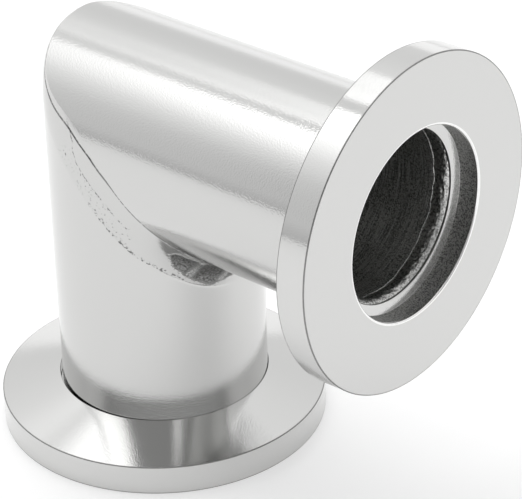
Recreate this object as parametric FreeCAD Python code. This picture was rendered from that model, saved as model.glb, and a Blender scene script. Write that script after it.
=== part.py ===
import FreeCAD
import Part
import math
import os

# Mitered vacuum elbow: two stainless tubes cut at 45 degrees and welded into a right-angle
# bend, with a turned clamp flange welded on each end.
#
# Frame: the origin is the centre of the base flange's sealing face. The base leg runs up
# along +Z and the side leg runs out along +X. Lengths are in millimetres, angles in degrees.

# Bend: centre of the bend to each sealing face
leg_length = 29.2

# Tubing
tube_diameter = 19.05
tube_wall = 1.65

# Clamp flanges, turned from bar
flange_diameter = 30.0
rim_thickness = 2.8
back_taper = 15.0
rim_edge_break = 0.15
recess_diameter = 17.2
recess_depth = 2.1
recess_edge_break = 0.18
web_thickness = 0.9

# How far the web stands into the tube's bore
web_lip = 0.125

# Seat of a tube in its flange: radial clearance, and how the base tube stands off centre in
# it, as a share of that clearance and a direction seen from above
socket_clearance = 0.2
socket_edge_break = 0.1
seat_shift_share = 0.75
seat_shift_direction = 40.0

# Weld inside each flange: its reach along the tube and along the web, its depth into the
# wall, and how far its face stands into the bore
flange_weld_tube_reach = 1.25
flange_weld_web_reach = 0.45
flange_weld_depth = 0.6
flange_weld_height = 0.15

# Miter weld: how far its toes reach along the tubes from the seam. At the heel it was dressed
# round onto the base tube and left a crease on the side tube, closest to the seam at the near
# shoulder. The angles go round the seam, from 0 at the throat to 180 at the heel.
throat_reach = 2.7
flank_reach = 2.8
heel_reach_on_base_tube = 4.0
heel_reach_on_side_tube = 1.9
far_shoulder_reach = 3.2
far_shoulder_angle = 145.0
near_shoulder_reach = 0.95
near_shoulder_angle = 218.0
near_flank_angle = 257.0

# How full the bead is in the throat
throat_fill = 0.3

# Fused zone of the miter weld: its sides run in from the toes towards a point on each leg's
# axis, this far past the bend's centre, and its root stands proud of the bore
fusion_taper_run = 4.0
root_height = 0.15

# How the miter weld is drawn: places round the seam, steps across its face, how far the fused
# zone is run on past the wall, as a share of the tube's radius, and by how much the bead is
# drawn wider than that zone before the two are intersected
seam_places = 36
face_steps = 3
fusion_overrun = 0.5
bead_margin = 0.5

# Sizes that follow
tube_radius = tube_diameter / 2
bore_radius = tube_radius - tube_wall
flange_radius = flange_diameter / 2
recess_radius = recess_diameter / 2
web_bore_radius = bore_radius - web_lip
socket_radius = tube_radius + socket_clearance
seat_depth = recess_depth + web_thickness
back_slope = math.tan(math.radians(back_taper))
run_past_bend = 2 * tube_diameter

seat_shift = seat_shift_share * socket_clearance
seat_shift_vector = FreeCAD.Vector(
    seat_shift * math.cos(math.radians(seat_shift_direction)),
    seat_shift * math.sin(math.radians(seat_shift_direction)),
    0,
)

ROOT_TWO = math.sqrt(2)
UP = FreeCAD.Vector(0, 0, 1)


def turned(outline):
    """Solid of revolution about Z of a closed outline of (radius, height) corners."""
    corners = [FreeCAD.Vector(radius, 0, height) for radius, height in outline]
    wire = Part.makePolygon(corners + corners[:1])
    return Part.Face(wire).revolve(FreeCAD.Vector(), UP, 360)


def hollow_cylinder(outer_radius, inner_radius, start, end):
    """Tube along Z from the height start to the height end."""
    return turned([(inner_radius, start), (outer_radius, start), (outer_radius, end), (inner_radius, end)])


def clamp_flange():
    """Flange with its sealing face at z = 0 and its tapered back up, towards the tube."""
    back_height = rim_thickness + (flange_radius - socket_radius) * back_slope
    mouth_radius = socket_radius + socket_edge_break
    return turned([
        (recess_radius + recess_edge_break, 0),
        (flange_radius - rim_edge_break, 0),
        (flange_radius, rim_edge_break),
        (flange_radius, rim_thickness - rim_edge_break),
        (flange_radius - rim_edge_break, rim_thickness + rim_edge_break * back_slope),
        (mouth_radius, back_height - socket_edge_break * back_slope),
        (socket_radius, back_height - socket_edge_break),
        (socket_radius, seat_depth),
        (web_bore_radius, seat_depth),
        (web_bore_radius, recess_depth),
        (recess_radius, recess_depth),
        (recess_radius, recess_edge_break),
    ])


def flange_weld():
    """Bead that joins the web's bore to the tube's bore: two fused sides and a ridged face."""
    web_toe = FreeCAD.Vector(web_bore_radius, 0, seat_depth - flange_weld_web_reach)
    root = FreeCAD.Vector(bore_radius + flange_weld_depth, 0, seat_depth)
    tube_toe = FreeCAD.Vector(bore_radius, 0, seat_depth + flange_weld_tube_reach)
    crown = (web_toe + tube_toe) * 0.5
    crown.x = web_bore_radius - flange_weld_height
    section = Part.makePolygon([web_toe, root, tube_toe, crown, web_toe])
    return Part.Face(section).revolve(FreeCAD.Vector(), UP, 360)


def to_side_leg(shape):
    """The same shape on the side leg, its z = 0 face turned to face +X at the leg's end."""
    placed = shape.copy()
    placed.rotate(FreeCAD.Vector(), FreeCAD.Vector(0, 1, 0), -90)
    placed.translate(FreeCAD.Vector(leg_length, 0, leg_length))
    return placed


# The miter weld is drawn in half-planes that fan out round the bend's centre. Each half-plane
# has an angle round the seam, 0 at the throat and 180 at the heel. In it, "out" is the
# distance from the bend's centre and "across" the distance from the miter plane.

def seam_point(angle, out, across):
    """Point in space of a place in the half-plane at an angle round the seam."""
    sideways = out * math.cos(angle)
    return FreeCAD.Vector(
        (across + sideways) / ROOT_TWO,
        out * math.sin(angle),
        leg_length + (across - sideways) / ROOT_TWO,
    )


def wall_distance(angle, across, radius):
    """Distance out to the mitered cylinders of a radius, at a distance across the miter plane."""
    lean = math.cos(angle)
    square = 1 - lean ** 2 / 2
    constant = across ** 2 / 2 - radius ** 2
    return (lean * across + math.sqrt((lean * across) ** 2 - 4 * square * constant)) / (2 * square)


def eased_reach(angle, stations):
    """Reach at an angle round the seam, eased from each station to the next."""
    turn = math.degrees(angle) % 360
    for (start, start_reach), (end, end_reach) in zip(stations, stations[1:]):
        if start <= turn <= end:
            share = (1 - math.cos(math.pi * (turn - start) / (end - start))) / 2
            return start_reach + (end_reach - start_reach) * share
    return stations[-1][1]


def base_toe(angle):
    """Distance of the base tube's toe from the miter plane."""
    stations = [(0, throat_reach), (90, flank_reach), (180, heel_reach_on_base_tube)]
    stations += [(270, flank_reach), (360, throat_reach)]
    return eased_reach(angle, stations) / ROOT_TWO


def side_toe(angle):
    """Distance of the side tube's toe from the miter plane."""
    stations = [(0, throat_reach), (90, flank_reach), (far_shoulder_angle, far_shoulder_reach)]
    stations += [(180, heel_reach_on_side_tube), (near_shoulder_angle, near_shoulder_reach)]
    stations += [(near_flank_angle, flank_reach), (360, throat_reach)]
    return eased_reach(angle, stations) / ROOT_TWO


def dressed(across, base_reach, side_reach):
    """Distance across, rounded off from the base tube's toe to the side tube's toe.

    It leaves the base tube's wall without a crease, and meets the side tube's wall with one
    where the two reaches differ.
    """
    gone = across + base_reach
    return base_reach - gone + 2 * side_reach * (gone / (base_reach + side_reach)) ** 2


def face_distance(angle, across):
    """Distance out to the dressed outer face of the miter weld."""
    on_base = base_toe(angle)
    on_side = side_toe(angle)
    middle = (on_side - on_base) / 2
    half = (on_side + on_base) / 2
    fullness = max(0.0, math.cos(angle)) ** 2 * (1 - ((across - middle) / half) ** 2)
    return wall_distance(angle, dressed(across, on_base, on_side), tube_radius) + throat_fill * fullness


def seam_angles():
    """Angles of the places round the seam at which the miter weld is drawn."""
    return [2 * math.pi * count / seam_places for count in range(seam_places)]


def toe_ring(toe, side, focus, share):
    """Closed curve through a tube's toes, scaled by a share about a point on the tube's axis."""
    places = []
    for angle in seam_angles():
        across = toe(angle)
        place = seam_point(angle, wall_distance(angle, across, tube_radius), side * across)
        places.append(focus + (place - focus) * share)
    steps = [count / seam_places for count in range(seam_places + 1)]
    curve = Part.BSplineCurve()
    curve.interpolate(Points=places, PeriodicFlag=True, Parameters=steps)
    return Part.Wire(curve.toShape())


def fused_zone():
    """Ring between the tubes' ends, from the weld's root inside the bore to past the outside."""
    base_focus = FreeCAD.Vector(0, 0, leg_length + fusion_taper_run)
    side_focus = FreeCAD.Vector(-fusion_taper_run, 0, leg_length)
    outside = 1 + fusion_overrun
    root = (bore_radius - root_height) / tube_radius
    rings = [toe_ring(base_toe, -1, base_focus, outside), toe_ring(side_toe, 1, side_focus, outside)]
    rings += [toe_ring(side_toe, 1, side_focus, root), toe_ring(base_toe, -1, base_focus, root)]
    return Part.makeLoft(rings, True, True, True)


def face_edge(angle, start, end):
    """Smooth edge over the weld's outer face, from one distance across to the other."""
    steps = [step / face_steps for step in range(face_steps + 1)]
    places = [start + (end - start) * step for step in steps]
    points = [seam_point(angle, face_distance(angle, across), across) for across in places]
    curve = Part.BSplineCurve()
    curve.interpolate(Points=points, Parameters=steps)
    return curve.toShape()


def bead_section(angle):
    """Section under the weld's outer face, wider than the fused zone and open to the bore."""
    near_edge = -base_toe(angle) - bead_margin
    far_edge = side_toe(angle) + bead_margin
    face = face_edge(angle, near_edge, far_edge)
    inside = [seam_point(angle, bore_radius / 2, far_edge), seam_point(angle, bore_radius / 2, near_edge)]
    corners = [face.valueAt(face.LastParameter), *inside, face.valueAt(face.FirstParameter)]
    sides = [Part.LineSegment(start, end).toShape() for start, end in zip(corners, corners[1:])]
    return Part.Wire([face, *sides])


def base_side_of_miter():
    """Block that fills the base leg's side of the miter plane."""
    size = 2 * run_past_bend
    block = Part.makeBox(size, size, size, FreeCAD.Vector(-size / 2, -size / 2, -size))
    block.rotate(FreeCAD.Vector(), FreeCAD.Vector(0, 1, 0), 45)
    block.translate(FreeCAD.Vector(0, 0, leg_length))
    return block


groove = fused_zone()
bead = Part.makeLoft([bead_section(angle) for angle in seam_angles()], True, False, True)
miter_weld = groove.common(bead).Solids[0]

leg_weld = flange_weld()
long_tube = hollow_cylinder(tube_radius, bore_radius, seat_depth, leg_length + run_past_bend)
base_mitered_tube = long_tube.common(base_side_of_miter())
base_tube = base_mitered_tube.cut(groove).cut(leg_weld).Solids[0]
side_mitered_tube = to_side_leg(long_tube).cut(base_side_of_miter())
side_tube = side_mitered_tube.cut(groove).cut(to_side_leg(leg_weld)).Solids[0]

base_weld = leg_weld.translated(seat_shift_vector)
pieces = {
    "base_flange": clamp_flange().cut(base_weld).Solids[0],
    "base_flange_weld": base_weld,
    "base_tube": base_tube.translated(seat_shift_vector),
    "miter_weld": miter_weld.translated(seat_shift_vector),
    "side_tube": side_tube.translated(seat_shift_vector),
    "side_flange_weld": to_side_leg(leg_weld).translated(seat_shift_vector),
    "side_flange": to_side_leg(clamp_flange().cut(leg_weld)).Solids[0].translated(seat_shift_vector),
}

os.makedirs("parts", exist_ok=True)
for name, piece in pieces.items():
    piece.exportStep(f"parts/{name}.step")
    print(name, piece.ShapeType, piece.isValid(), round(piece.Volume, 2), "mm3")
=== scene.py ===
"""Mitered vacuum elbow in stainless steel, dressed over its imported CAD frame.

The frame is in metres: the origin is the centre of the base flange's sealing face, the base leg
runs up along +Z and the side leg out along +X. Sizes below are in millimetres unless a name says
otherwise, and angles are in degrees.
"""

import logging
import math
from dataclasses import dataclass
from enum import Enum, IntEnum

import bmesh
import bpy
from mathutils import Matrix, Vector, noise


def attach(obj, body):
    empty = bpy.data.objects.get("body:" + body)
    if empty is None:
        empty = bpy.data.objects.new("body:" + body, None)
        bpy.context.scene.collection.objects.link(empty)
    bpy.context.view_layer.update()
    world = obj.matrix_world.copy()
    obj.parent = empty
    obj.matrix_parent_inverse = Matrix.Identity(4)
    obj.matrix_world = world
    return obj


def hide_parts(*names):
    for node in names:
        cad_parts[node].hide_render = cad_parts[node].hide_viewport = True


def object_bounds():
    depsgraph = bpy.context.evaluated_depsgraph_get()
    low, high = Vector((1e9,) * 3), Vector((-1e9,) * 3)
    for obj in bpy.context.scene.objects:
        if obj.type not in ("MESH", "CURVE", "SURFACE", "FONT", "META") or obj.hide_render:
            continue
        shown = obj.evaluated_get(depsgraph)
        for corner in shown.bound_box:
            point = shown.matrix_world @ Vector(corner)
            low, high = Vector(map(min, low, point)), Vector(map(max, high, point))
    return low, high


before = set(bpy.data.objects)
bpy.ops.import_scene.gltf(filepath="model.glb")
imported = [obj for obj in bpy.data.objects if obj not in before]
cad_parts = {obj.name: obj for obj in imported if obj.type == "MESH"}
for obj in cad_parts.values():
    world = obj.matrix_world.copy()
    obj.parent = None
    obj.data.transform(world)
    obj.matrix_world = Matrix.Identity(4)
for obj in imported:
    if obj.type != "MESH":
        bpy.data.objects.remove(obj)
CAD_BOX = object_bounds()

log = logging.getLogger("elbow")

MM = 0.001
ROOT_TWO = math.sqrt(2)

# Points round each ring, and the angle from which the edge between two faces stays sharp.
AROUND = 360
SHARP_ANGLE = 40.0

# Most of a side that one rounding takes, alone and with its support point.
ROUNDING_SHARE = 0.4
SUPPORT_SHARE = 0.48

# Distance, in millimetres, that stands for nowhere near.
FAR = 9.0

# Numbers that the materials of a tube and of the miter weld have in their meshes.
OUTSIDE = 0
INSIDE = 1

# Octaves of noise in an even pattern, a fine one and a rough one.
EVEN = 1.0
FINE = 2.0
ROUGH = 3.0

# Noise between which a grain goes from pitted to whole.
PIT_SPAN = (0.4, 0.56)

# Least and most roughness that marks and grain give a steel, as shares of its own.
BELT_SPREAD = (0.85, 1.15)
GRAIN_SPREAD = (0.75, 1.25)

# Turn of a blur from round a tube to along it, where 1 is a full circle.
QUARTER_TURN = 0.25

# Sockets of a Mix node that mixes colours: its share, its two colours and its result.
MIX_SHARE = 0
MIX_FROM = 6
MIX_TO = 7
MIX_RESULT = 2

# Brightness that a ramp of the studio's holds at most, and that of its boards.
BRIGHTEST = 2.0
BOARD_STRENGTH = 1.25

Span = tuple[float, float]
Point = tuple[float, float]
Place = tuple[float, float, float]
Corner = tuple[float, float, float]
Ring = list[Vector]
Socket = bpy.types.NodeSocket


class Leg(Enum):
    """The elbow's two legs, by the axis that each one runs along."""

    BASE = "Z"
    SIDE = "X"

    def stretch(self, pitch: float, length: float) -> Place:
        """Scale of a noise that gives marks round this leg.

        Args:
            pitch: distance between the marks, in millimetres.
            length: length of a mark, in millimetres.

        Returns:
            The scale along X, Y and Z, per metre.
        """
        across = 1 / (pitch * MM)
        around = 1 / (length * MM)
        return (around, around, across) if self is Leg.BASE else (across, around, around)


class Ray(Enum):
    """Kinds of ray that see the studio's background, as Light Path names them."""

    CAMERA = "Is Camera Ray"
    GLOSSY = "Is Glossy Ray"
    TRANSMISSION = "Is Transmission Ray"


@dataclass(frozen=True)
class ElbowSizes:
    """Sizes that the pieces share.

    The seat shift is how far the tubes, their welds and the side flange stand off the base
    flange's axis, towards +X and +Y, because the base tube isn't centred in its socket.
    """

    leg_length: float = 29.2
    tube_radius: float = 9.525
    bore_radius: float = 7.875
    socket_radius: float = 9.725
    seat_depth: float = 3.0
    web_bore_radius: float = 7.75
    seat_shift_x: float = 0.115
    seat_shift_y: float = 0.096

    def shift(self) -> Matrix:
        """Matrix, in millimetres, that moves a piece with the off-centre base tube."""
        return Matrix.Translation((self.seat_shift_x, self.seat_shift_y, 0))

    def placed(self, leg: Leg, shifted: bool = True) -> Matrix:
        """Matrix that takes a leg's own frame to the elbow's frame.

        Args:
            leg: the leg, whose own frame has its sealing face at z = 0 and its tube up.
            shifted: whether the piece moves with the off-centre base tube.

        Returns:
            A matrix in millimetres.
        """
        shift = self.shift() if shifted else Matrix()
        if leg is Leg.BASE:
            return shift
        out = Matrix.Translation((self.leg_length, 0, self.leg_length))
        return shift @ out @ Matrix.Rotation(math.radians(-90), 4, "Y")


def linear(colour: str, share: float = 1.0) -> tuple[float, float, float, float]:
    """Turns an sRGB hex colour into the linear colour that a shader's socket takes.

    Args:
        colour: the colour, as "#RRGGBB".
        share: how much of it is left, where 1 is all.

    Returns:
        Linear red, green and blue, and an alpha of 1.
    """
    channels = [int(colour[start:start + 2], 16) / 255 for start in (1, 3, 5)]
    red, green, blue = [
        value / 12.92 if value <= 0.04045 else ((value + 0.055) / 1.055) ** 2.4 for value in channels
    ]
    return red * share, green * share, blue * share, 1.0


def add(
    tree: bpy.types.NodeTree,
    kind: str,
    inputs: dict[str | int, object] | None = None,
    output: str | int = 0,
    stops: list[tuple[float, tuple]] | None = None,
    **settings: object,
) -> Socket | None:
    """Adds a node with its settings and links.

    Args:
        tree: the node tree.
        kind: the node's type.
        inputs: what goes into each named or numbered input, which is either an output socket of
            another node or a plain value.
        output: name or number of the output that is wanted.
        stops: positions and colours of a colour ramp.
        settings: values of the node's properties.

    Returns:
        The wanted output, or None from a node that has no outputs.
    """
    node = tree.nodes.new(kind)
    for name, value in settings.items():
        setattr(node, name, value)
    for key, value in (inputs or {}).items():
        if isinstance(value, Socket):
            tree.links.new(value, node.inputs[key])
        else:
            node.inputs[key].default_value = value
    if stops:
        band = node.color_ramp.elements
        while len(band) < len(stops):
            band.new(1.0)
        for element, (position, colour) in zip(band, stops):
            element.position = position
            element.color = colour
    return node.outputs[output] if len(node.outputs) else None


def blank(name: str) -> tuple[bpy.types.Material, bpy.types.NodeTree]:
    """New material with an empty node tree.

    Args:
        name: the material's name.

    Returns:
        The material and its nodes.
    """
    material = bpy.data.materials.new(name)
    material.use_nodes = True
    material.node_tree.nodes.clear()
    return material, material.node_tree


def rounded(corners: list[Corner], steps: int = 5, support: float = 0.03) -> list[Corner]:
    """Closed outline with each corner rounded, and a support point beside each rounding.

    Args:
        corners: (radius, height, rounding) of each corner of the sharp outline.
        steps: straight steps in each rounding.
        support: distance from a rounding to the point that keeps the flat beside it flat.

    Returns:
        (radius, height, number of its corner) of each point of the rounded outline.
    """
    outline = []
    around = zip(corners[-1:] + corners, corners, corners[1:] + corners[:1])
    for number, (before, corner, after) in enumerate(around):
        here = Vector(corner[:2])
        back = Vector(before[:2]) - here
        ahead = Vector(after[:2]) - here
        turn = math.pi - back.angle(ahead)
        most = ROUNDING_SHARE * min(back.length, ahead.length)
        reach = min(corner[2] * math.tan(turn / 2), most)
        points = [here + back.normalized() * min(reach + support, SUPPORT_SHARE * back.length)]
        for step in range(steps + 1):
            share = step / steps
            start = here + back.normalized() * reach * (1 - share)
            end = here + ahead.normalized() * reach * share
            points.append(start.lerp(end, share))
        points.append(here + ahead.normalized() * min(reach + support, SUPPORT_SHARE * ahead.length))
        outline += [(point.x, point.y, number) for point in points]
    return outline


def sweep() -> list[float]:
    """Angles of a ring's points, in radians."""
    return [2 * math.pi * count / AROUND for count in range(AROUND)]


def turned_rings(outline: list[Corner]) -> list[Ring]:
    """Rings about Z through each point of an outline.

    Args:
        outline: (radius, height, number of its corner) of each point, in millimetres.

    Returns:
        The rings, in millimetres.
    """
    return [
        [Vector((radius * math.cos(turn), radius * math.sin(turn), height)) for turn in sweep()]
        for radius, height, _ in outline
    ]


def skin(
    name: str, rings: list[Ring], place: Matrix, finishes: list[int] | None = None
) -> bpy.types.Object:
    """Smooth closed mesh through successive rings, the last one joined to the first.

    Args:
        name: the object's name.
        rings: rings of AROUND points each, in millimetres.
        place: matrix to the elbow's frame, in millimetres.
        finishes: number of the material between each ring and the next one.

    Returns:
        The new object, in the scene.
    """
    shell = bmesh.new()
    rows = [[shell.verts.new((place @ point) * MM) for point in ring] for ring in rings]
    for band, (row, following) in enumerate(zip(rows, rows[1:] + rows[:1])):
        for count in range(AROUND):
            after = (count + 1) % AROUND
            face = shell.faces.new((row[count], row[after], following[after], following[count]))
            face.material_index = finishes[band] if finishes else 0
    bmesh.ops.recalc_face_normals(shell, faces=shell.faces)
    mesh = bpy.data.meshes.new(name)
    shell.to_mesh(mesh)
    shell.free()
    mesh.shade_smooth()
    mesh.set_sharp_from_angle(angle=math.radians(SHARP_ANGLE))
    piece = bpy.data.objects.new(name, mesh)
    bpy.context.scene.collection.objects.link(piece)
    return piece


def settle(piece: bpy.types.Object, node: str, materials: list[bpy.types.Material]) -> None:
    """Gives a piece its materials and its place in the frame.

    Args:
        piece: the piece.
        node: the CAD node that it stands for.
        materials: its materials, in the order of their numbers in the mesh.
    """
    for material in materials:
        piece.data.materials.append(material)
    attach(piece, "root")
    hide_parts(node)


@dataclass(frozen=True)
class PolishedTube:
    """Drawn stainless tube, polished round and round with a fine belt.

    Eye: bright and near to a mirror. Edges in its reflections stay crisp round the tube, because
    the belt's marks run that way, and blur a little along it. The marks and dents are too fine to
    show, so they are drawn coarser than they are.
    """

    steel: str = "#CECECD"
    roughness: float = 0.1
    anisotropy: float = 0.93
    mark_pitch: float = 0.12
    mark_length: float = 4.0
    mark_depth: float = 0.001
    dent_pitch: float = 0.15
    dent_depth: float = 0.01


@dataclass(frozen=True)
class TurnedFlange:
    """Stainless bar, turned on a lathe with a fine feed and buffed.

    Eye: as bright as the tube, or a little brighter, with the tool's marks as faint rings, which
    are drawn coarser than they are, so that they show.
    """

    steel: str = "#D2D2D1"
    roughness: float = 0.07
    anisotropy: float = 0.93
    mark_pitch: float = 0.14
    mark_length: float = 12.0
    mark_depth: float = 0.0012
    dent_pitch: float = 0.13
    dent_depth: float = 0.005


def belt_steel(name: str, leg: Leg, finish: PolishedTube | TurnedFlange) -> bpy.types.Material:
    """Steel with marks that run round a leg's axis.

    Args:
        name: the material's name.
        leg: the leg whose axis the marks run round.
        finish: the colour, roughness and mark sizes.

    Returns:
        The material.
    """
    material, tree = blank(name)
    place = add(tree, "ShaderNodeTexCoord", output="Object")
    stretch = leg.stretch(finish.mark_pitch, finish.mark_length)
    stretched = add(tree, "ShaderNodeMapping", {"Vector": place, "Scale": stretch})
    marks = add(tree, "ShaderNodeTexNoise", {"Vector": stretched, "Scale": 1.0, "Detail": FINE})
    dents = add(
        tree, "ShaderNodeTexNoise",
        {"Vector": place, "Scale": 1 / (finish.dent_pitch * MM), "Detail": EVEN},
    )
    lined = add(
        tree, "ShaderNodeBump",
        {"Height": marks, "Distance": finish.mark_depth * MM, "Strength": 1.0},
    )
    worn = add(
        tree, "ShaderNodeBump",
        {"Height": dents, "Distance": finish.dent_depth * MM, "Strength": 1.0, "Normal": lined},
    )
    least, most = BELT_SPREAD
    rough = add(
        tree, "ShaderNodeMapRange",
        {"Value": marks, "To Min": finish.roughness * least, "To Max": finish.roughness * most},
    )
    tangent = add(tree, "ShaderNodeTangent", direction_type="RADIAL", axis=leg.value)
    steel = add(
        tree, "ShaderNodeBsdfPrincipled",
        {"Base Color": linear(finish.steel), "Metallic": 1.0, "Roughness": rough, "Normal": worn,
         "Anisotropic": finish.anisotropy, "Anisotropic Rotation": QUARTER_TURN, "Tangent": tangent},
    )
    add(tree, "ShaderNodeOutputMaterial", {"Surface": steel})
    return material


@dataclass(frozen=True)
class BoredTube:
    """Inside of a tube, bored out for the weld and left as it came off the tool.

    Eye: dull and dark beside the polished outside, speckled, with rings from the tool that come
    and go in patches. The speckle is drawn coarser than it is, so that it shows.
    """

    steel: str = "#E0E0DE"
    roughness: float = 0.4
    grain_pitch: float = 0.13
    grain_depth: float = 0.02
    mottle: float = 0.65
    ring_pitch: float = 0.15
    ring_length: float = 3.75
    ring_depth: float = 0.05
    ring_share: float = 0.4
    patch_pitch: float = 2.4
    patch_span: Span = (0.4, 0.5)


@dataclass(frozen=True)
class BoredRecess:
    """Wall of a recess, bored with a coarse feed and never polished.

    Eye: a dark, speckled grey that shows no clear reflection. The speckle is drawn coarser than
    it is, so that it shows.
    """

    steel: str = "#CACAC8"
    roughness: float = 0.48
    grain_pitch: float = 0.13
    grain_depth: float = 0.02
    mottle: float = 0.65


@dataclass(frozen=True)
class PaintedHighlightMouth:
    """Mouth of a recess, in a near-white colour that paints the highlight along its rounded edge.

    Eye: a thin line that is nearly as white as the table that it mirrors.
    """

    # Near-white colour: a painted highlight along the recess's mouth.
    steel: str = "#F6F6F5"
    roughness: float = 0.15
    grain_pitch: float = 0.4
    grain_depth: float = 0.001
    mottle: float = 0.03


@dataclass(frozen=True)
class ShadedRimEdge:
    """Edge break of a rim, left dull, in a darker colour that paints the shade along the rim's edges.

    Eye: a thin dull line round the flange, darker than the faces on both sides of it.
    """

    # Darker colour: painted shade along both edges of each rim.
    steel: str = "#929291"
    roughness: float = 0.4
    grain_pitch: float = 0.3
    grain_depth: float = 0.002
    mottle: float = 0.15


@dataclass(frozen=True)
class RawWeld:
    """Weld bead left as it was laid.

    Eye: rough, and broken up into bright and dark spots.
    """

    steel: str = "#DCDCDA"
    roughness: float = 0.3
    grain_pitch: float = 0.2
    grain_depth: float = 0.05
    mottle: float = 0.6


def grained_steel(
    name: str,
    finish: BoredTube | BoredRecess | PaintedHighlightMouth | ShadedRimEdge | RawWeld,
    leg: Leg | None = None,
) -> bpy.types.Material:
    """Steel with an even grain, darker in its pits.

    Args:
        name: the material's name.
        finish: colour, roughness, and the grain's pitch, depth and darkening.
        leg: the leg that the finish's tool rings run round, if it has them.

    Returns:
        The material.
    """
    material, tree = blank(name)
    place = add(tree, "ShaderNodeTexCoord", output="Object")
    grain = add(
        tree, "ShaderNodeTexNoise",
        {"Vector": place, "Scale": 1 / (finish.grain_pitch * MM), "Detail": ROUGH},
    )
    bump = add(
        tree, "ShaderNodeBump",
        {"Height": grain, "Distance": finish.grain_depth * MM, "Strength": 1.0},
    )
    tone = grain
    if leg:
        stretch = leg.stretch(finish.ring_pitch, finish.ring_length)
        stretched = add(tree, "ShaderNodeMapping", {"Vector": place, "Scale": stretch})
        marks = add(tree, "ShaderNodeTexNoise", {"Vector": stretched, "Scale": 1.0, "Detail": EVEN})
        patches = add(
            tree, "ShaderNodeTexNoise",
            {"Vector": place, "Scale": 1 / (finish.patch_pitch * MM), "Detail": EVEN},
        )
        bare, full = finish.patch_span
        kept = add(tree, "ShaderNodeMapRange", {"Value": patches, "From Min": bare, "From Max": full})
        bump = add(
            tree, "ShaderNodeBump",
            {"Height": marks, "Distance": finish.ring_depth * MM, "Strength": kept, "Normal": bump},
        )
        share = add(tree, "ShaderNodeMath", {0: kept, 1: finish.ring_share}, operation="MULTIPLY")
        lined = add(tree, "ShaderNodeMath", {0: marks, 1: grain}, operation="SUBTRACT")
        tone = add(tree, "ShaderNodeMath", {0: lined, 1: share, 2: grain}, operation="MULTIPLY_ADD")
    least, most = GRAIN_SPREAD
    rough = add(
        tree, "ShaderNodeMapRange",
        {"Value": grain, "To Min": finish.roughness * least, "To Max": finish.roughness * most},
    )
    pitted, whole = PIT_SPAN
    colour = add(
        tree, "ShaderNodeValToRGB", {"Fac": tone},
        stops=[(pitted, linear(finish.steel, 1 - finish.mottle)), (whole, linear(finish.steel))],
    )
    steel = add(
        tree, "ShaderNodeBsdfPrincipled",
        {"Base Color": colour, "Metallic": 1.0, "Roughness": rough, "Normal": bump},
    )
    add(tree, "ShaderNodeOutputMaterial", {"Surface": steel})
    return material


@dataclass(frozen=True)
class WeldLine:
    """Broken dark line in the dressed weld where a stored distance is small: pits and scratches, and along
    the crease a painted shade.

    The width is in millimetres. The line is there up to the filled value of the noise that breaks
    it, and leaves the light share of the steel's brightness.
    """

    distance: str
    width: float
    filled: float
    light: float


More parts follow.
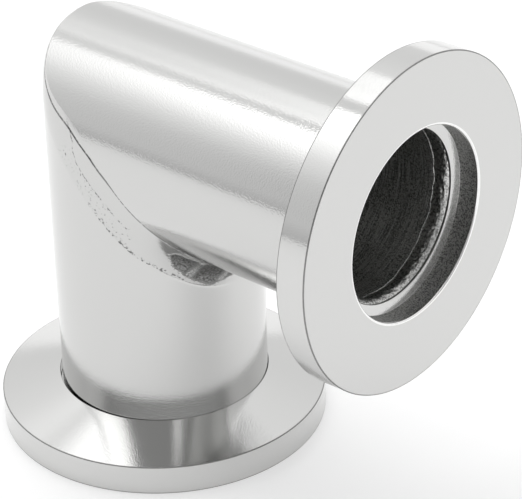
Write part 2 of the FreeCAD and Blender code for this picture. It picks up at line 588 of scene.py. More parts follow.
@dataclass(frozen=True)
class DressedWeld:
    """Weld bead, ground flush with the tubes and polished by hand, but not everywhere.

    Eye: as bright as the tubes, but softer, with fine marks along the seam, which are drawn coarser than
    they are, so that they show. A thin dark line of pits is left along its lower toe and a fainter one
    where two passes of the wheel meet. A dark line along the crease by the side tube's toe is painted
    shade. The wheel never reached the bead in the throat, which is dark and scaly.
    """

    steel: str = "#CCCCCB"
    roughness: float = 0.13
    bare_steel: str = "#9C9C9B"
    scale_steel: str = "#525251"
    scale_span: Span = (0.38, 0.6)
    bare_roughness: float = 0.4
    bare_start: float = 0.32
    bare_fade: float = 0.3
    bare_raggedness: float = 0.9
    mark_pitch: float = 0.13
    mark_length: float = 3.0
    mark_depth: float = 0.004
    grain_pitch: float = 0.17
    grain_depth: float = 0.05
    gap_pitch: float = 0.24
    gap_fade: float = 0.05
    line_core: float = 0.3
    lines: tuple[WeldLine, ...] = (
        WeldLine(distance="pit_line", width=0.34, filled=0.43, light=0.3),
        WeldLine(distance="fleck_band", width=1.1, filled=0.33, light=0.4),
        WeldLine(distance="pass_line", width=0.1, filled=0.5, light=0.4),
        # Painted shade along the crease between the weld and the side tube.
        WeldLine(distance="crease_shade_line", width=0.11, filled=0.6, light=0.35),
    )

    def drawn(self, tree: bpy.types.NodeTree, line: WeldLine, gaps: Socket) -> Socket:
        """Where a broken line is drawn.

        Args:
            tree: the material's nodes.
            line: the line.
            gaps: noise that breaks the line.

        Returns:
            1 on the line and 0 off it.
        """
        distance = add(tree, "ShaderNodeAttribute", output="Fac", attribute_name=line.distance)
        size = add(tree, "ShaderNodeMath", {0: distance}, operation="ABSOLUTE")
        near = add(
            tree, "ShaderNodeMapRange",
            {"Value": size, "From Min": line.width * self.line_core, "From Max": line.width,
             "To Min": 1.0, "To Max": 0.0},
        )
        kept = add(
            tree, "ShaderNodeMapRange",
            {"Value": gaps, "From Min": line.filled - self.gap_fade,
             "From Max": line.filled + self.gap_fade, "To Min": 1.0, "To Max": 0.0},
        )
        return add(tree, "ShaderNodeMath", {0: near, 1: kept}, operation="MULTIPLY")

    def material(self) -> bpy.types.Material:
        """Makes the material.

        Returns:
            The material.
        """
        material, tree = blank("dressed_weld")
        seam = add(tree, "ShaderNodeAttribute", output="Vector", attribute_name="along_seam")
        stretch = (1 / self.mark_length, 1 / self.mark_length, 1 / self.mark_pitch)
        stretched = add(tree, "ShaderNodeMapping", {"Vector": seam, "Scale": stretch})
        marks = add(tree, "ShaderNodeTexNoise", {"Vector": stretched, "Scale": 1.0, "Detail": FINE})
        place = add(tree, "ShaderNodeTexCoord", output="Object")
        grain = add(
            tree, "ShaderNodeTexNoise",
            {"Vector": place, "Scale": 1 / (self.grain_pitch * MM), "Detail": ROUGH},
        )
        gaps = add(
            tree, "ShaderNodeTexNoise",
            {"Vector": place, "Scale": 1 / (self.gap_pitch * MM), "Detail": FINE},
        )
        depth = add(tree, "ShaderNodeAttribute", output="Fac", attribute_name="bare")
        ragged = add(
            tree, "ShaderNodeMath", {0: grain, 1: self.bare_raggedness, 2: depth},
            operation="MULTIPLY_ADD",
        )
        bare = add(
            tree, "ShaderNodeMapRange",
            {"Value": ragged, "From Min": self.bare_start, "From Max": self.bare_start + self.bare_fade},
        )
        scaly = add(tree, "ShaderNodeMath", {0: grain, 1: bare}, operation="MULTIPLY")
        lined = add(
            tree, "ShaderNodeBump",
            {"Height": marks, "Distance": self.mark_depth * MM, "Strength": 1.0},
        )
        bump = add(
            tree, "ShaderNodeBump",
            {"Height": scaly, "Distance": self.grain_depth * MM, "Strength": 1.0, "Normal": lined},
        )
        rough = add(
            tree, "ShaderNodeMapRange",
            {"Value": bare, "To Min": self.roughness, "To Max": self.bare_roughness},
        )
        scaled, clean = self.scale_span
        scale = add(
            tree, "ShaderNodeValToRGB", {"Fac": grain},
            stops=[(scaled, linear(self.scale_steel)), (clean, linear(self.bare_steel))],
        )
        colour = add(
            tree, "ShaderNodeMix", {MIX_SHARE: bare, MIX_FROM: linear(self.steel), MIX_TO: scale},
            output=MIX_RESULT, data_type="RGBA",
        )
        for line in self.lines:
            tint = add(
                tree, "ShaderNodeValToRGB", {"Fac": self.drawn(tree, line, gaps)},
                stops=[(0.0, (1, 1, 1, 1)), (1.0, (line.light, line.light, line.light, 1))],
            )
            colour = add(tree, "ShaderNodeVectorMath", {0: colour, 1: tint}, operation="MULTIPLY")
        steel = add(
            tree, "ShaderNodeBsdfPrincipled",
            {"Base Color": colour, "Metallic": 1.0, "Roughness": rough, "Normal": bump},
        )
        add(tree, "ShaderNodeOutputMaterial", {"Surface": steel})
        return material


class FlangeCorner(IntEnum):
    """Corners of a flange's section, in order round the metal from the recess's mouth."""

    MOUTH = 0
    FACE_RIM = 1
    BACK_RIM = 2
    SOCKET_MOUTH = 3
    SOCKET_SEAT = 4
    WEB_SEAT = 5
    LIP = 6
    RECESS_FOOT = 7


class FlangeFinish(IntEnum):
    """A flange's finishes, by the number of each one's material in the mesh."""

    TURNED = 0
    RECESS = 1
    MOUTH = 2
    SHADED_EDGE = 3


@dataclass
class ClampFlange:
    """Turned clamp flange with a tapered back, a recess in its face and a socket for the tube.

    The recess's floor dips a little towards the bore, where the weld drew it in. The base tube
    was pushed to one side of its socket, which it touches there, so the gap shows on the other.
    """

    sizes: ElbowSizes
    leg: Leg
    rim_radius: float = 15.0
    rim_thickness: float = 2.8
    back_taper: float = 15.0
    rim_rounding: float = 0.07
    recess_radius: float = 8.6
    recess_depth: float = 2.1
    recess_rounding: float = 0.2
    floor_dip: float = 0.31
    lip_rounding: float = 0.09
    socket_rounding: float = 0.06
    inner_rounding: float = 0.05
    foot_rounding_share: float = 1 / 3
    base_socket_radius: float = 9.66
    base_socket_x: float = -0.015
    base_socket_y: float = 0.116

    def corners(self) -> dict[FlangeCorner, Corner]:
        """Corners of the section.

        Returns:
            (radius, height, rounding) of each corner, in order.
        """
        socket = self.base_socket_radius if self.leg is Leg.BASE else self.sizes.socket_radius
        web = self.sizes.web_bore_radius
        seat = self.sizes.seat_depth
        back = self.rim_thickness + (self.rim_radius - socket) * math.tan(math.radians(self.back_taper))
        dip = self.floor_dip / 2
        foot_rounding = self.inner_rounding * self.foot_rounding_share
        return {
            FlangeCorner.MOUTH: (self.recess_radius, 0, self.recess_rounding),
            FlangeCorner.FACE_RIM: (self.rim_radius, 0, self.rim_rounding),
            FlangeCorner.BACK_RIM: (self.rim_radius, self.rim_thickness, self.rim_rounding),
            FlangeCorner.SOCKET_MOUTH: (socket, back, self.socket_rounding),
            FlangeCorner.SOCKET_SEAT: (socket, seat, self.inner_rounding),
            FlangeCorner.WEB_SEAT: (web, seat, self.inner_rounding),
            FlangeCorner.LIP: (web, self.recess_depth + dip, self.lip_rounding),
            FlangeCorner.RECESS_FOOT: (self.recess_radius, self.recess_depth - dip, foot_rounding),
        }

    def build(self) -> bpy.types.Object:
        """Turns the flange.

        Returns:
            The flange, undressed.
        """
        outline = rounded(list(self.corners().values()))
        bands = {
            (FlangeCorner.RECESS_FOOT, FlangeCorner.MOUTH): FlangeFinish.RECESS,
            (FlangeCorner.MOUTH, FlangeCorner.MOUTH): FlangeFinish.MOUTH,
            (FlangeCorner.FACE_RIM, FlangeCorner.FACE_RIM): FlangeFinish.SHADED_EDGE,
            (FlangeCorner.BACK_RIM, FlangeCorner.BACK_RIM): FlangeFinish.SHADED_EDGE,
        }
        finishes = [
            bands.get((start[2], end[2]), FlangeFinish.TURNED).value
            for start, end in zip(outline, outline[1:] + outline[:1])
        ]
        rings = turned_rings(outline)
        if self.leg is Leg.BASE:
            push = Vector((self.base_socket_x, self.base_socket_y, 0))
            socket = (FlangeCorner.SOCKET_MOUTH, FlangeCorner.SOCKET_SEAT)
            rings = [
                [point + push for point in ring] if corner[2] in socket else ring
                for corner, ring in zip(outline, rings)
            ]
        place = self.sizes.placed(self.leg, shifted=self.leg is Leg.SIDE)
        return skin(f"turned_{self.leg.name.lower()}_flange", rings, place, finishes)

    def dress(self, piece: bpy.types.Object) -> None:
        """Gives the flange its finishes and its place in the frame.

        Args:
            piece: the flange.
        """
        name = self.leg.name.lower()
        turned = belt_steel(f"turned_{name}_flange", self.leg, TurnedFlange())
        recess = grained_steel(f"bored_{name}_recess", BoredRecess())
        # The mouth's near-white colour is a painted highlight.
        mouth = grained_steel(f"painted_highlight_{name}_mouth", PaintedHighlightMouth())
        # The rim's edges are painted darker, as shade.
        edge = grained_steel(f"broken_{name}_edge", ShadedRimEdge())
        settle(piece, f"{name}_flange", [turned, recess, mouth, edge])


def eased(turn: float, stations: tuple[Point, ...]) -> float:
    """Value at a turn, eased from each station to the next.

    Args:
        turn: the turn, in degrees.
        stations: (turn, value) pairs, from 0 to 360 degrees.

    Returns:
        The value.
    """
    turn = turn % 360
    for (start, low), (end, high) in zip(stations, stations[1:]):
        if start <= turn <= end:
            return low + (high - low) * (1 - math.cos(math.pi * (turn - start) / (end - start))) / 2
    return stations[-1][1]


def step_up(value: float, low: float, high: float) -> float:
    """Smooth step from 0 at a low value to 1 at a high one."""
    share = min(max((value - low) / (high - low), 0.0), 1.0)
    return share * share * (3 - 2 * share)


@dataclass
class MiterSeam:
    """Where the two tubes meet, and the weld's toes on each of them.

    A place near the seam has an angle round it, 0 at the throat and 180 at the heel, a distance
    out from the bend's centre and a distance across the miter plane, which is negative on the
    base tube's side. A toe's reach is measured along its tube.
    """

    sizes: ElbowSizes
    base_reaches: tuple[Point, ...] = (
        (0, 2.7), (90, 2.8), (180, 4.0), (275, 2.8), (314, 3.25), (332, 2.8), (360, 2.7)
    )
    side_reaches: tuple[Point, ...] = (
        (0, 2.6), (90, 2.8), (145, 3.2), (180, 1.9), (222, 0.6), (259, 2.65), (274, 2.75), (312, 2.2),
        (360, 2.6),
    )
    throat_fill: float = 0.3
    taper_run: float = 4.0

    def turns(self) -> list[float]:
        """Angles round the seam, in radians, that are even round the tubes."""
        return [math.atan2(math.sin(step), ROOT_TWO * math.cos(step)) for step in sweep()]

    def point(self, angle: float, out: float, across: float) -> Vector:
        """Point in space of a place near the seam.

        Args:
            angle: angle round the seam, in radians.
            out: distance out from the bend's centre.
            across: distance across the miter plane.

        Returns:
            The point, in millimetres.
        """
        sideways = out * math.cos(angle)
        return Vector((
            (across + sideways) / ROOT_TWO,
            out * math.sin(angle),
            self.sizes.leg_length + (across - sideways) / ROOT_TWO,
        ))

    def wall(self, angle: float, across: float, radius: float) -> float:
        """Distance out to two mitered cylinders.

        Args:
            angle: angle round the seam, in radians.
            across: distance across the miter plane.
            radius: the cylinders' radius.

        Returns:
            The distance, in millimetres.
        """
        lean = math.cos(angle)
        square = 1 - lean ** 2 / 2
        constant = across ** 2 / 2 - radius ** 2
        return (lean * across + math.sqrt((lean * across) ** 2 - 4 * square * constant)) / (2 * square)

    def base_toe(self, angle: float) -> float:
        """Distance of the base tube's toe from the miter plane."""
        return eased(math.degrees(angle), self.base_reaches) / ROOT_TWO

    def side_toe(self, angle: float) -> float:
        """Distance of the side tube's toe from the miter plane."""
        return eased(math.degrees(angle), self.side_reaches) / ROOT_TWO

    def toe_ring(self, leg: Leg, radius: float) -> Ring:
        """Ring of the weld's toe on a leg's tube, drawn in towards the root.

        Args:
            leg: the leg.
            radius: radius of the ring, at or inside the tube's outer wall.

        Returns:
            The ring, in millimetres.
        """
        focus = Vector((0, 0, self.sizes.leg_length + self.taper_run))
        toe = self.base_toe
        side = -1
        if leg is Leg.SIDE:
            focus = Vector((-self.taper_run, 0, self.sizes.leg_length))
            toe = self.side_toe
            side = 1
        ring = []
        for angle in self.turns():
            across = toe(angle)
            place = self.point(angle, self.wall(angle, across, self.sizes.tube_radius), side * across)
            ring.append(focus.lerp(place, radius / self.sizes.tube_radius))
        return ring

    def face(self, angle: float, across: float, proud: float = 0.0) -> Vector:
        """Point on the dressed outer face of the weld.

        Args:
            angle: angle round the seam, in radians.
            across: distance across the miter plane.
            proud: how far the point stands proud of the face.

        Returns:
            The point, in millimetres.
        """
        base = self.base_toe(angle)
        side = self.side_toe(angle)
        gone = across + base
        rounded_across = base - gone + 2 * side * (gone / (base + side)) ** 2
        middle = (side - base) / 2
        half = (side + base) / 2
        fullness = max(0.0, math.cos(angle)) ** 2 * (1 - ((across - middle) / half) ** 2)
        out = self.wall(angle, rounded_across, self.sizes.tube_radius) + self.throat_fill * fullness
        return self.point(angle, out + proud, across)


@dataclass
class MiteredTube:
    """One of the two tubes, cut at 45 degrees at the bend."""

    sizes: ElbowSizes
    seam: MiterSeam
    leg: Leg
    weld_toe_height: float = 4.05
    wall_rings: int = 40

    def along(self, end: Ring, start: float) -> list[Ring]:
        """Rings along a wall.

        Args:
            end: the ring at its far end.
            start: height of its near end above the sealing face.

        Returns:
            The rings, with the far one last.
        """
        rings = []
        for step in range(self.wall_rings):
            ring = []
            for point in end:
                foot = point.copy()
                if self.leg is Leg.BASE:
                    foot.z = start
                else:
                    foot.x = self.sizes.leg_length - start
                ring.append(foot.lerp(point, step / self.wall_rings))
            rings.append(ring)
        return rings + [end]

    def build(self) -> bpy.types.Object:
        """Builds the tube: outer wall from its seat to the weld, and back down the bore.

        Returns:
            The tube, undressed.
        """
        outer = self.along(self.seam.toe_ring(self.leg, self.sizes.tube_radius), self.sizes.seat_depth)
        inner = self.along(self.seam.toe_ring(self.leg, self.sizes.bore_radius), self.weld_toe_height)
        finishes = [OUTSIDE] * len(outer) + [INSIDE] * len(inner)
        name = f"polished_{self.leg.name.lower()}_tube"
        return skin(name, outer + inner[::-1], self.sizes.shift(), finishes)

    def dress(self, piece: bpy.types.Object) -> None:
        """Gives the tube its two finishes and its place in the frame.

        Args:
            piece: the tube.
        """
        name = self.leg.name.lower()
        outside = belt_steel(f"polished_{name}_tube", self.leg, PolishedTube())
        inside = grained_steel(f"bored_{name}_tube", BoredTube(), self.leg)
        settle(piece, f"{name}_tube", [outside, inside])


@dataclass
class MiterWeld:
    """Weld round the miter seam: dressed outside, bare in the throat, a root inside.

    Turns go round the seam from the throat, and shares go across the weld from 0 at the base
    tube's toe to 1 at the side tube's. The pass's places are distances from the miter plane, and
    the flecks' place is a share of the way from there to the base tube's toe.
    """

    sizes: ElbowSizes
    seam: MiterSeam
    face_rings: int = 72
    even_start: float = 0.045
    even_run: float = 0.91
    base_toe_shares: tuple[float, ...] = (0.0, 0.01, 0.025)
    side_toe_shares: tuple[float, ...] = (0.97, 0.982, 0.992, 1.0)
    root_rings: int = 8
    root_height: float = 0.15
    crease_depth: float = 0.05
    crease_width: float = 0.07
    crease_rise: Span = (186.0, 200.0)
    crease_fall: Span = (332.0, 340.0)
    crease_shade_start: float = 205.0
    crease_shade_end: float = 330.0
    crease_shade_inset: float = 0.05
    crease_shares: tuple[Point, ...] = (
        (0, 1.0), (206, 0.97), (222, 0.82), (236, 0.78), (252, 0.83), (272, 0.92), (292, 1.0), (360, 1.0)
    )
    bead_height: float = 0.07
    bead_shoulder: Span = (-0.1, 0.25)
    dish_shoulder: Span = (0.0, 0.6)
    dish_share: float = 1.4
    pit_start: float = 286.0
    pit_end: float = 337.0
    pit_inset: float = 0.07
    fleck_start: float = 252.0
    fleck_end: float = 312.0
    fleck_place: float = 0.55
    pass_places: tuple[Point, ...] = (
        (0, FAR), (244, FAR), (245, 1.15), (251, 1.0), (256, 0.75), (262, 0.1), (267, -0.25), (280, -0.35),
        (290, -0.3), (300, -0.4), (308, -0.45), (309, FAR), (360, FAR),
    )
    bare_low: tuple[Point, ...] = (
        (0, 0.25), (32, 0.5), (60, 0.75), (323.5, 0.75), (332.5, 0.24), (337.5, 0.14), (341.5, 0.08),
        (347.5, 0.02), (351, 0.12), (355.5, 0.22), (360, 0.25),
    )
    bare_high: tuple[Point, ...] = (
        (0, 0.85), (20, 0.8), (36, 0.5), (60, 0.25), (323.5, 0.25), (329, 0.84), (337.5, 0.86),
        (343.5, 0.92), (350, 0.84), (360, 0.85),
    )
    # Crests of the bare bead's ripples: a real ridge, and a line of the dressed steel's colour as a
    # painted highlight.
    crests: tuple[float, ...] = (338.5, 351.0, 4.0, 15.5, 26.0)
    crest_width: float = 0.12
    crest_height: float = 0.05
    crest_bow: float = 1.5

    def shares(self) -> list[float]:
        """Places of the outer face's rings, closer together near the toes.

        Returns:
            Share of the way from toe to toe of each ring.
        """
        last = self.face_rings - 1
        even = [self.even_start + self.even_run * step / last for step in range(self.face_rings)]
        return [*self.base_toe_shares, *even, *self.side_toe_shares]

    def from_edge(self, turn: float, share: float, width: float) -> float:
        """Distance inside the edge of the bead that the wheel left bare, in millimetres."""
        return min(share - eased(turn, self.bare_low), eased(turn, self.bare_high) - share) * width

    def from_crest(self, turn: float, share: float) -> float:
        """Distance round the seam from the nearest crest of the bead's bowed ripples.

        Args:
            turn: place round the seam.
            share: place across the weld.

        Returns:
            The distance, in millimetres.
        """
        bowed = turn + self.crest_bow * (2 * share - 1) ** 2
        gaps = [abs((bowed - crest + 180) % 360 - 180) for crest in self.crests]
        return math.radians(min(gaps)) * self.sizes.tube_radius

    def bareness(self, turn: float, share: float, width: float) -> float:
        """Distance inside the bare bead's edge, in millimetres, less at the crests of its ripples, whose
        dressed colour paints a highlight along each crest.
        """
        return min(self.from_edge(turn, share, width), self.from_crest(turn, share) - self.crest_width)

    def from_crease(self, turn: float, share: float, width: float) -> float:
        """Distance across the weld from the crease, in millimetres."""
        return (eased(turn, self.crease_shares) - share) * width

    def relief(self, turn: float, share: float, width: float) -> float:
        """How far the face stands proud of its smooth form.

        Args:
            turn: place round the seam.
            share: place across the weld.
            width: the weld's width there.

        Returns:
            The height, in millimetres.
        """
        faded = 1 - step_up(turn, *self.crease_fall)
        crease = self.crease_depth * step_up(turn, *self.crease_rise) * faded
        height = -crease * math.exp(-((self.from_crease(turn, share, width) / self.crease_width) ** 2))
        inside = step_up(self.from_edge(turn, share, width), *self.bead_shoulder)
        height += self.bead_height * inside
        crest = math.exp(-((self.from_crest(turn, share) / self.crest_width) ** 2))
        height += self.crest_height * inside * crest
        dish = step_up(self.bareness(turn, share, width), *self.dish_shoulder)
        return height - self.dish_share * self.bead_height * dish

    def marks(self, turn: float, share: float, base: float, width: float) -> dict[str, float]:
        """Distances that the dressed weld's finish is drawn from, by the names it knows them by.

        Args:
            turn: place round the seam.
            share: place across the weld.
            base: distance of the base tube's toe from the miter plane.
            width: the weld's width there.

        Returns:
            Distance from each line, and how far inside the bare bead, in millimetres.
        """
        across = width * share - base
        pitted = self.pit_start < turn < self.pit_end
        flecked = self.fleck_start < turn < self.fleck_end
        # The crease line is painted shade, drawn between these turns.
        crease_shaded = self.crease_shade_start < turn < self.crease_shade_end
        crease = self.from_crease(turn, share, width) - self.crease_shade_inset
        return {
            "pit_line": across + base - self.pit_inset if pitted else FAR,
            "fleck_band": across + base * self.fleck_place if flecked else FAR,
            "pass_line": across - eased(turn, self.pass_places),
            "crease_shade_line": crease if crease_shaded else FAR,
            # Less at the ripples' crests, where the dressed colour paints a highlight.
            "bare": self.bareness(turn, share, width),
        }

    def root(self) -> list[Ring]:
        """Rings of the root, proud of the bore.

        Returns:
            The rings, from the side tube's to the base tube's.
        """
        proud = self.sizes.bore_radius - self.root_height
        base_root = self.seam.toe_ring(Leg.BASE, proud)
        side_root = self.seam.toe_ring(Leg.SIDE, proud)
        shares = [step / self.root_rings for step in range(self.root_rings + 1)]
        return [[start.lerp(end, share) for start, end in zip(side_root, base_root)] for share in shares]

    def build(self) -> bpy.types.Object:
        """Builds the weld from its outer face, its fused sides and its root.

        Returns:
            The weld, undressed, with what its finish is drawn from stored in its mesh.
        """
        marks = {}
        seam_places = []
        face = []
        radius = self.sizes.tube_radius
        for share in self.shares():
            ring = []
            for around, angle in zip(sweep(), self.seam.turns()):
                turn = math.degrees(angle) % 360
                base = self.seam.base_toe(angle)
                width = base + self.seam.side_toe(angle)
                across = width * share - base
                ring.append(self.seam.face(angle, across, self.relief(turn, share, width)))
                for name, value in self.marks(turn, share, base, width).items():
                    marks.setdefault(name, []).append(value)
                seam_places += [radius * math.cos(around), radius * math.sin(around), across]
            face.append(ring)
        root = self.root()
        finishes = [OUTSIDE] * len(face) + [INSIDE] * len(root)
        piece = skin("dressed_miter_weld", face + root, self.sizes.shift(), finishes)
        inside = AROUND * len(root)
        for name, values in marks.items():
            stored = piece.data.attributes.new(name, "FLOAT", "POINT")
            stored.data.foreach_set("value", values + [-FAR if name == "bare" else FAR] * inside)
        stored = piece.data.attributes.new("along_seam", "FLOAT_VECTOR", "POINT")
        stored.data.foreach_set("vector", seam_places + [0.0] * 3 * inside)
        return piece

    def dress(self, piece: bpy.types.Object) -> None:
        """Gives the weld its finishes and its place in the frame."""
        root = grained_steel("raw_miter_root", RawWeld())
        settle(piece, "miter_weld", [DressedWeld().material(), root])


@dataclass
class FlangeWeld:
    """Bead inside a flange, between its web and the tube's bore, with a deeper toe that wanders.

    The bulges say how far it stands out at each turn round the flange, which is less over the
    upper third of the side flange's mouth. The scales are those of the noise that shapes it.
    """

    sizes: ElbowSizes
    leg: Leg
    web_toe_height: float = 2.45
    tube_toe_height: float = 4.22
    toe_overlap: float = 0.03
    depth: float = 0.6
    bulges: tuple[Point, ...] = ((0, 0.1), (62, 0.12), (100, 0.4), (210, 0.4), (300, 0.2), (360, 0.1))
    crown_lean: float = 0.72
    crown_power: float = 0.9
    bead_rings: int = 60
    toe_wander: float = 0.16
    wander_scale: float = 3.0
    wander_seed: Place = (7.0, 0.0, 0.0)
    ripple: float = 0.12
    ripple_scale: float = 9.0
    ripple_seed: Place = (3.0, 5.0, 0.0)
    lip_height: float = 0.07
    lip_place: float = 0.96
    lip_width: float = 0.02
    lump_height: float = 0.07
    lump_rise: float = 3.0
    lump_scale_round: float = 22.0
    lump_scale_up: float = 2.6
    speck_share: float = 0.5
    speck_scale_round: float = 50.0
    speck_scale_up: float = 5.0

    def toe_wave(self, here: Vector) -> float:
        """How far the deeper toe wanders in a direction from the axis, in millimetres."""
        wave = self.toe_wander * noise.noise(here * self.wander_scale + Vector(self.wander_seed))
        return wave + self.ripple * noise.noise(here * self.ripple_scale + Vector(self.ripple_seed))

    def lump(self, here: Vector, height: float) -> float:
        """How lumpy the bead's face is at one place.

        Args:
            here: direction of the place from the axis.
            height: its height over the sealing face.

        Returns:
            Its height as a share of the lump height, below 0 in a dip.
        """
        lump = noise.noise(here * self.lump_scale_round + Vector((0, 0, height * self.lump_scale_up)))
        speck = noise.noise(here * self.speck_scale_round + Vector((0, 0, height * self.speck_scale_up)))
        return lump + self.speck_share * speck

    def build(self) -> bpy.types.Object:
        """Builds the bead, with a lip along its deeper toe and a rough face.

        Returns:
            The bead, undressed.
        """
        rings = []
        web = self.sizes.web_bore_radius
        for step in range(self.bead_rings + 1):
            share = step / self.bead_rings
            seat = web + (self.sizes.bore_radius - web) * share
            hump = math.sin(math.pi * share ** self.crown_lean) ** self.crown_power
            lip = self.lip_height * math.exp(-(((share - self.lip_place) / self.lip_width) ** 2))
            ring = []
            for count, turn in enumerate(sweep()):
                here = Vector((math.cos(turn), math.sin(turn), 0))
                top = self.tube_toe_height + self.toe_wave(here)
                height = self.web_toe_height + (top - self.web_toe_height) * share
                bulge = eased(360 * count / AROUND, self.bulges)
                lumps = self.lump_height * self.lump(here, height) * min(1.0, self.lump_rise * hump)
                radius = seat + self.toe_overlap - bulge * hump - lumps - lip
                ring.append(Vector((here.x * radius, here.y * radius, height)))
            rings.append(ring)
        outer = self.sizes.bore_radius + self.depth
        rings += turned_rings([(outer, self.sizes.seat_depth, 0)])
        return skin(f"raw_{self.leg.name.lower()}_flange_weld", rings, self.sizes.placed(self.leg))

    def dress(self, piece: bpy.types.Object) -> None:
        """Gives the bead its finish and its place in the frame."""
        name = self.leg.name.lower()
        settle(piece, f"{name}_flange_weld", [grained_steel(f"raw_{name}_bead", RawWeld())])


def direction(azimuth: float, elevation: float) -> Vector:
    """Direction of a place round the object.

    Args:
        azimuth: 0 towards -Y and 90 towards +X.
        elevation: angle over the table.

    Returns:
        A unit vector.
    """
    turn = math.radians(azimuth)
    rise = math.radians(elevation)
    return Vector((math.sin(turn) * math.cos(rise), -math.cos(turn) * math.cos(rise), math.sin(rise)))


@dataclass(frozen=True)
class Paper:
    """Matte paper that keeps a shadow, and glows to the rays that look at it.

    The glows are the shares of the glow that the camera sees and that the metal mirrors, from 0
    to 1. The strength is the glow's brightness, where 1 is white.
    """

    name: str
    colour: str
    camera_glow: float
    glossy_glow: float
    strength: float = 1.0

    def material(self) -> bpy.types.Material:
        """Makes the paper.

        Returns:
            The material.
        """
        material, tree = blank(self.name)
        glossy = add(tree, "ShaderNodeLightPath", output=Ray.GLOSSY.value)
        passed = add(tree, "ShaderNodeLightPath", output=Ray.TRANSMISSION.value)
        mirrored = add(tree, "ShaderNodeMath", {0: glossy, 1: passed}, operation="MAXIMUM")
        mirrored = add(tree, "ShaderNodeMath", {0: mirrored, 1: self.glossy_glow}, operation="MULTIPLY")
        direct = add(tree, "ShaderNodeLightPath", output=Ray.CAMERA.value)
        direct = add(tree, "ShaderNodeMath", {0: direct, 1: self.camera_glow}, operation="MULTIPLY")
        share = add(tree, "ShaderNodeMath", {0: mirrored, 1: direct}, operation="MAXIMUM")
        matte = add(tree, "ShaderNodeBsdfDiffuse", {"Color": linear(self.colour)})
        glow = add(tree, "ShaderNodeEmission", {"Color": (1, 1, 1, 1), "Strength": self.strength})
        mix = add(tree, "ShaderNodeMixShader", {0: share, 1: matte, 2: glow})
        add(tree, "ShaderNodeOutputMaterial", {"Surface": mix})
        return material


@dataclass(frozen=True)
class Board:
    """Upright board that faces the object.

    Its azimuth and how far away it stands are taken from the object. Low and high are the heights
    of its edges over the table. All its lengths are in metres.
    """

    name: str
    paper: Paper
    azimuth: float
    away: float
    width: float
    low: float
    high: float

    def corners(self, centre: Vector) -> list[Vector]:
        """Corners of the board.

        Args:
            centre: the object's centre, in metres.

        Returns:
            Its four corners, in metres.
        """
        out = direction(self.azimuth, 0)
        along = Vector((-out.y, out.x, 0)) * self.width / 2
        foot = Vector((centre.x, centre.y, 0)) + out * self.away
        rise = Vector((0, 0, 1))
        lower = [foot - along + rise * self.low, foot + along + rise * self.low]
        return lower + [foot + along + rise * self.high, foot - along + rise * self.high]


@dataclass(frozen=True)
class Card:
    """Card that one surface mirrors and the tubes don't.

    The mirror is the point of that surface, in millimetres. The places are the azimuth and
    elevation of the card's corners as seen from there, and away is their distance, in metres.
    """

    name: str
    paper: Paper
    mirror: Place
    places: tuple[Point, ...]
    away: float = 2.5

    def corners(self) -> list[Vector]:
        """Corners of the card, in metres."""
        return [Vector(self.mirror) * MM + direction(*place) * self.away for place in self.places]


@dataclass(frozen=True)
class Softbox:
    """Square area lamp that faces the object, with its size and distance in metres.

    Its radiance is how bright its face looks, where 1 is white.
    """

    name: str
    azimuth: float
    elevation: float
    away: float
    size: float
    radiance: float

    def hang(self, centre: Vector) -> None:
        """Hangs the lamp where the metal doesn't mirror it.

        Args:
            centre: the object's centre, in metres.
        """
        lamp = bpy.data.lights.new(self.name, "AREA")
        lamp.shape = "SQUARE"
        lamp.size = self.size
        lamp.energy = self.radiance * math.pi * self.size ** 2
        holder = bpy.data.objects.new(self.name, lamp)
        out = direction(self.azimuth, self.elevation)
        holder.location = centre + out * self.away
        holder.rotation_euler = out.to_track_quat("Z", "Y").to_euler()
        holder.visible_glossy = False
        bpy.context.scene.collection.objects.link(holder)


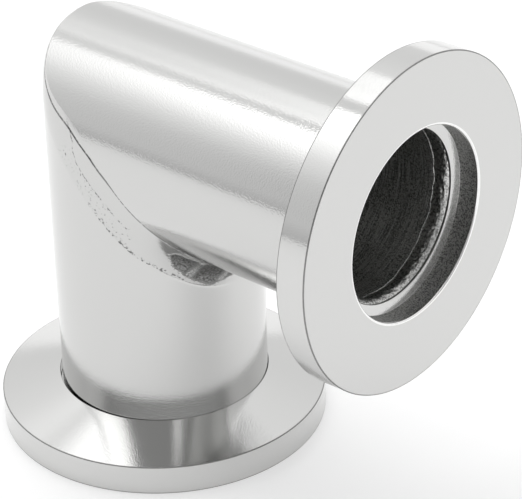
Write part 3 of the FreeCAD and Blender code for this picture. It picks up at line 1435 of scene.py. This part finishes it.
@dataclass
class Studio:
    """Pale table in a soft white tent, with a bright panel overhead and a dark side by the camera.

    Brightness 1 is white. The tent's brightness depends on the angle from its dark side's middle,
    and the panel adds to it by the angle from the panel's middle, up to the dark side's edge. The
    cards are named for what mirrors them. The table's size is in metres.
    """

    centre: Vector
    table_size: float = 3.0
    table_paper: Paper = Paper("white_table", "#F0F0F0", camera_glow=0.55, glossy_glow=0.5)
    lamp: Softbox = Softbox(
        "overhead_softbox", azimuth=-120, elevation=66, away=0.6, size=0.4, radiance=4.2
    )
    cards: tuple[Card, ...] = (
        Card(
            "rim_card",
            Paper("bright_card", "#F2F2F2", camera_glow=0.8, glossy_glow=0.95, strength=1.7),
            mirror=(27.9, -4.5, 43.5),
            places=((-104.7, 55.1), (-109.0, 61.6), (-137.2, 48.5), (-129.4, 44.3)),
        ),
        Card(
            "cone_card",
            Paper("dim_card", "#8A8A8A", camera_glow=0.0, glossy_glow=0.9, strength=0.56),
            mirror=(13.0, -4.0, 3.5),
            places=((-150.5, 69.0), (-148.0, 58.0), (-161.4, 51.0), (-161.4, 61.0)),
        ),
        Card(
            "wedge_card",
            Paper("soft_card", "#E0E0E0", camera_glow=0.0, glossy_glow=0.95, strength=1.12),
            mirror=(1.0, -12.5, 3.5),
            places=((-104.0, 47.5), (-104.0, 51.6), (-119.0, 51.6), (-119.0, 47.5)),
        ),
    )
    boards: tuple[Board, ...] = (
        Board(
            "low_backdrop",
            Paper("white_board", "#F2F2F2", camera_glow=0.8, glossy_glow=0.95, strength=BOARD_STRENGTH),
            azimuth=-137, away=0.6, width=0.5, low=0.02, high=0.17,
        ),
        Board(
            "tent_batten",
            Paper("grey_batten", "#A8A8A8", camera_glow=0.0, glossy_glow=0.66, strength=BOARD_STRENGTH),
            azimuth=-93.5, away=0.35, width=0.09, low=0.38, high=0.75,
        ),
        Board(
            "light_gap",
            Paper("pale_gap", "#C0C0C0", camera_glow=0.0, glossy_glow=0.8, strength=BOARD_STRENGTH),
            azimuth=57.5, away=0.3, width=0.08, low=0.4, high=0.9,
        ),
    )
    tent_strength: float = 1.2
    dark_place: Point = (41.6, 22.5)
    dark_steps: tuple[Point, ...] = (
        (0, 0.38), (50, 0.37), (62, 0.34), (72, 0.64), (82, 0.72), (92, 0.7), (110, 0.78), (180, 0.77)
    )
    dark_edge: tuple[Point, ...] = ((58.0, 0.0), (61.2, 1.0))
    panel_place: Point = (-53.2, 75.6)
    panel_steps: tuple[Point, ...] = (
        (0, 1.39), (20, 1.39), (24, 0.68), (27, 0.6), (30, 0.48), (35, 0.28), (40, 0.21), (46, 0.1),
        (54, 0.045), (64, 0.0),
    )
    horizon_dimness: float = 0.77
    horizon_height: float = 9.0

    def shade(self, tree: bpy.types.NodeTree, place: Point, steps: tuple[Point, ...]) -> Socket:
        """Brightness that depends on the angle from a place in the tent.

        Args:
            tree: the world's nodes.
            place: azimuth and elevation of the place.
            steps: (angle, brightness) pairs.

        Returns:
            The brightness.
        """
        sky = add(tree, "ShaderNodeTexCoord", output="Generated")
        near = add(
            tree, "ShaderNodeVectorMath", {0: sky, 1: direction(*place)},
            output="Value", operation="DOT_PRODUCT",
        )
        angle = add(tree, "ShaderNodeMath", {0: near}, operation="ARCCOSINE")
        share = add(tree, "ShaderNodeMath", {0: angle, 1: math.pi}, operation="DIVIDE")
        stops = [(turn / 180, (value / BRIGHTEST,) * 3 + (1,)) for turn, value in steps]
        ramp = add(tree, "ShaderNodeValToRGB", {"Fac": share}, stops=stops)
        return add(tree, "ShaderNodeMath", {0: ramp, 1: BRIGHTEST}, operation="MULTIPLY")

    def light_world(self) -> None:
        """Soft light from the tent, seen in the metal, and white behind the object."""
        world = bpy.data.worlds.new("tent")
        bpy.context.scene.world = world
        world.use_nodes = True
        tree = world.node_tree
        tree.nodes.clear()
        sky = add(tree, "ShaderNodeTexCoord", output="Generated")
        height = add(tree, "ShaderNodeSeparateXYZ", {0: sky}, output="Z")
        top = math.sin(math.radians(self.horizon_height))
        horizon = add(
            tree, "ShaderNodeMapRange",
            {"Value": height, "From Max": top, "To Min": self.horizon_dimness},
        )
        walls = self.shade(tree, self.dark_place, self.dark_steps)
        walls = add(tree, "ShaderNodeMath", {0: walls, 1: horizon}, operation="MULTIPLY")
        panel = self.shade(tree, self.panel_place, self.panel_steps)
        edge = self.shade(tree, self.dark_place, self.dark_edge)
        both = add(tree, "ShaderNodeMath", {0: panel, 1: edge, 2: walls}, operation="MULTIPLY_ADD")
        tent = add(tree, "ShaderNodeBackground", {"Color": both, "Strength": self.tent_strength})
        white = add(tree, "ShaderNodeBackground", {"Color": (1, 1, 1, 1), "Strength": 1.0})
        seen = add(tree, "ShaderNodeLightPath", output=Ray.CAMERA.value)
        mix = add(tree, "ShaderNodeMixShader", {0: seen, 1: tent, 2: white})
        add(tree, "ShaderNodeOutputWorld", {"Surface": mix})

    def sheet(self, name: str, corners: list[Vector], material: bpy.types.Material) -> None:
        """Puts a flat four-cornered sheet in the studio.

        Args:
            name: the sheet's name.
            corners: its corners, in metres.
            material: its material.
        """
        mesh = bpy.data.meshes.new(name)
        mesh.from_pydata(corners, [], [(0, 1, 2, 3)])
        mesh.materials.append(material)
        sheet = bpy.data.objects.new(name, mesh)
        bpy.context.scene.collection.objects.link(sheet)

    def table(self) -> None:
        """Pale table top that keeps the object's shadow."""
        half = self.table_size / 2
        sides = ((-half, -half), (half, -half), (half, half), (-half, half))
        corners = [Vector((along, across, 0)) for along, across in sides]
        self.sheet("table", corners, self.table_paper.material())

    def build(self) -> None:
        """Sets up the table, the tent, the lamp, the cards and the boards."""
        self.table()
        self.light_world()
        self.lamp.hang(self.centre)
        for card in self.cards:
            self.sheet(card.name, card.corners(), card.paper.material())
        for board in self.boards:
            self.sheet(board.name, board.corners(self.centre), board.paper.material())


@dataclass
class Viewpoint:
    """Camera from the photograph's angle."""

    target: Place = (13.36, -1.24, 21.77)
    azimuth: float = 40.566
    elevation: float = 30.486
    roll: float = -1.717
    distance: float = 245.75
    lens: float = 195.19
    sensor: float = 36.0
    nearest: float = 10.0
    farthest: float = 10000.0

    def build(self) -> None:
        """Makes the camera and sets it as the scene's."""
        data = bpy.data.cameras.new("camera")
        data.lens = self.lens
        data.sensor_width = self.sensor
        data.clip_start = self.nearest * MM
        data.clip_end = self.farthest * MM
        camera = bpy.data.objects.new("camera", data)
        back = direction(self.azimuth, self.elevation)
        roll = Matrix.Rotation(math.radians(self.roll), 3, "Z").to_quaternion()
        turn = back.to_track_quat("Z", "Y") @ roll
        camera.rotation_euler = turn.to_euler()
        camera.location = (Vector(self.target) + back * self.distance) * MM
        bpy.context.scene.collection.objects.link(camera)
        bpy.context.scene.camera = camera


def main() -> None:
    """Builds the elbow's pieces in order, then the studio and the camera."""
    logging.basicConfig(level=logging.INFO, format="%(name)s: %(message)s")
    sizes = ElbowSizes()
    seam = MiterSeam(sizes)
    parts = [ClampFlange(sizes, leg) for leg in Leg]
    parts += [MiteredTube(sizes, seam, leg) for leg in Leg]
    parts += [FlangeWeld(sizes, leg) for leg in Leg]
    parts.append(MiterWeld(sizes, seam))
    for part in parts:
        piece = part.build()
        part.dress(piece)
        log.info("%s: %d faces", piece.name, len(piece.data.polygons))
    lowest, highest = CAD_BOX
    Studio(centre=(lowest + highest) / 2).build()
    Viewpoint().build()
    bpy.context.scene.view_settings.view_transform = "Standard"


if __name__ == "__main__":
    main()
